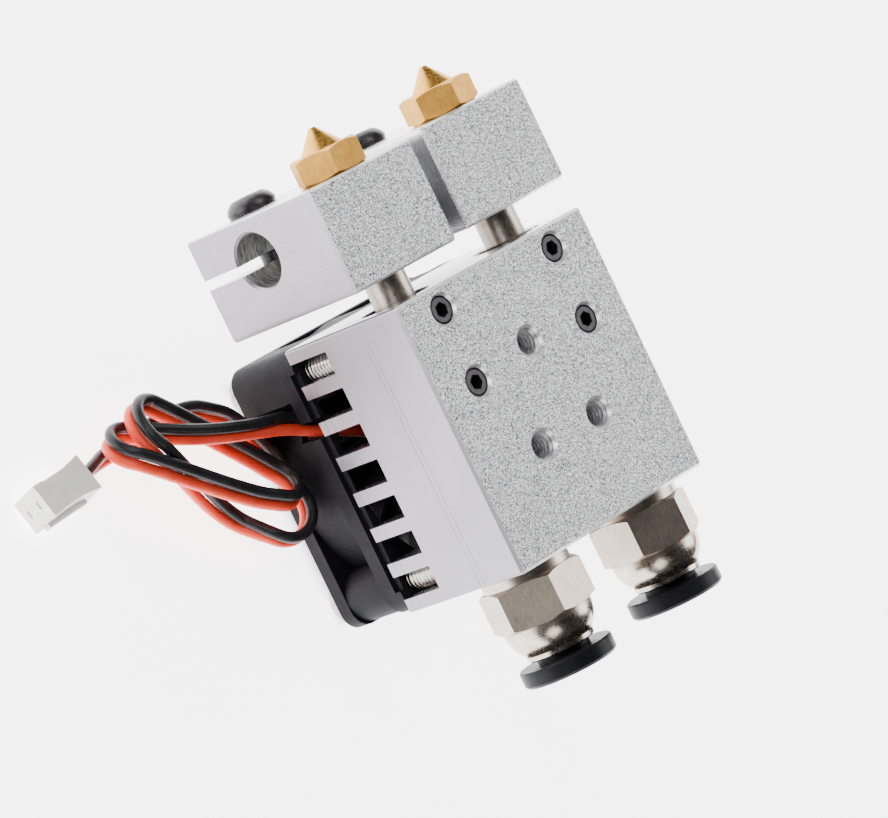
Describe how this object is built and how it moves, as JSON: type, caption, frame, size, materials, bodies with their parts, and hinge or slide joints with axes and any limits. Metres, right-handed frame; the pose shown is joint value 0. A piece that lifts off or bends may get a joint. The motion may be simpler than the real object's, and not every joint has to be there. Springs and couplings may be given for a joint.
{
  "type": "hotend assembly",
  "caption": "Compact printer hotend: a finned cold block carries heater blocks with brass nozzles, push-fit tube fittings and a cooling fan with a loosely coiled lead.",
  "frame": {"origin": "centre of the object's box without its lead, on the surface that the fan's screw heads rest on", "axes": "+Z out of the mount face, -Y the way the nozzles point, +X towards the side where the fan's lead leaves"},
  "size_m": [0.0633, 0.062, 0.03],
  "materials": {
    "blasted_aluminium": "fine bead-blasted face, satin milled sides",
    "dark_steel": "black oxide",
    "break_steel": "turned stainless steel",
    "brass": "machined brass",
    "nickel": "warm nickel plating",
    "spring_steel": "bright sheet",
    "seal_rubber": "smooth",
    "sleeve_plastic": "satin moulded",
    "fan_plastic": "fine moulded grain",
    "magnet": "bonded ferrite",
    "bearing_bronze": "sintered",
    "copper": "enamelled wire",
    "board": "solder mask",
    "label": "plain film",
    "wire_red": "extruded insulation",
    "wire_black": "extruded insulation",
    "connector_nylon": "natural nylon",
    "contact_metal": "tinned sheet"
  },
  "bodies": {
    "cold_side": {"cold_block": "blasted_aluminium", "grub_screw_1": "dark_steel", "grub_screw_2": "dark_steel", "grub_screw_3": "dark_steel", "grub_screw_4": "dark_steel", "fitting_body_left": "nickel", "fitting_collar_left": "nickel", "seal_ring_left": "seal_rubber", "grip_ring_left": "spring_steel", "fitting_body_right": "nickel", "fitting_collar_right": "nickel", "seal_ring_right": "seal_rubber", "grip_ring_right": "spring_steel", "fan_frame": "fan_plastic", "fan_bearing": "bearing_bronze", "fan_stator_core": "spring_steel", "fan_stator_coils": "copper", "fan_circuit_board": "board", "fan_label": "label", "fan_screw_1": "nickel", "fan_screw_2": "nickel", "fan_screw_3": "nickel", "fan_screw_4": "nickel", "lead_red_start": "wire_red", "lead_black_start": "wire_black", "lead_coil": "wire_black", "lead_red_end": "wire_red", "lead_black_end": "wire_black", "connector_housing": "connector_nylon", "connector_contact_1": "contact_metal", "connector_contact_2": "contact_metal"},
    "carrier_left": {"heat_break_left": "break_steel"},
    "hot_end_left": {"heater_block_left": "blasted_aluminium", "nozzle_left": "brass", "clamp_screw_left": "dark_steel"},
    "sleeve_left": {"release_sleeve_left": "sleeve_plastic"},
    "carrier_right": {"heat_break_right": "break_steel"},
    "hot_end_right": {"heater_block_right": "blasted_aluminium", "nozzle_right": "brass", "clamp_screw_right": "dark_steel"},
    "sleeve_right": {"release_sleeve_right": "sleeve_plastic"},
    "rotor": {"fan_rotor": "fan_plastic", "fan_magnet": "magnet", "fan_shaft": "spring_steel", "shaft_clip": "spring_steel"}
  },
  "joints": [
    {"name": "level_left", "type": "slide", "parent": "cold_side", "child": "carrier_left", "axis": [0, -1, 0], "range_m": [-0.001, 0.0015]},
    {"name": "square_left", "type": "hinge", "parent": "carrier_left", "child": "hot_end_left", "pos_m": [0.009, -0.01985, 0.024], "axis": [0, -1, 0], "range_deg": [-3, 3]},
    {"name": "release_left", "type": "slide", "parent": "cold_side", "child": "sleeve_left", "axis": [0, -1, 0], "range_m": [0, 0.0005], "stiffness_N_per_m": 300},
    {"name": "level_right", "type": "slide", "parent": "cold_side", "child": "carrier_right", "axis": [0, -1, 0], "range_m": [-0.001, 0.0015]},
    {"name": "square_right", "type": "hinge", "parent": "carrier_right", "child": "hot_end_right", "pos_m": [-0.009, -0.01985, 0.024], "axis": [0, -1, 0], "range_deg": [-3, 3]},
    {"name": "release_right", "type": "slide", "parent": "cold_side", "child": "sleeve_right", "axis": [0, -1, 0], "range_m": [0, 0.0005], "stiffness_N_per_m": 300},
    {"name": "fan_spin", "type": "hinge", "parent": "cold_side", "child": "rotor", "pos_m": [0, 0.00415, 0.007], "axis": [0, 0, 1], "continuous": true}
  ]
}
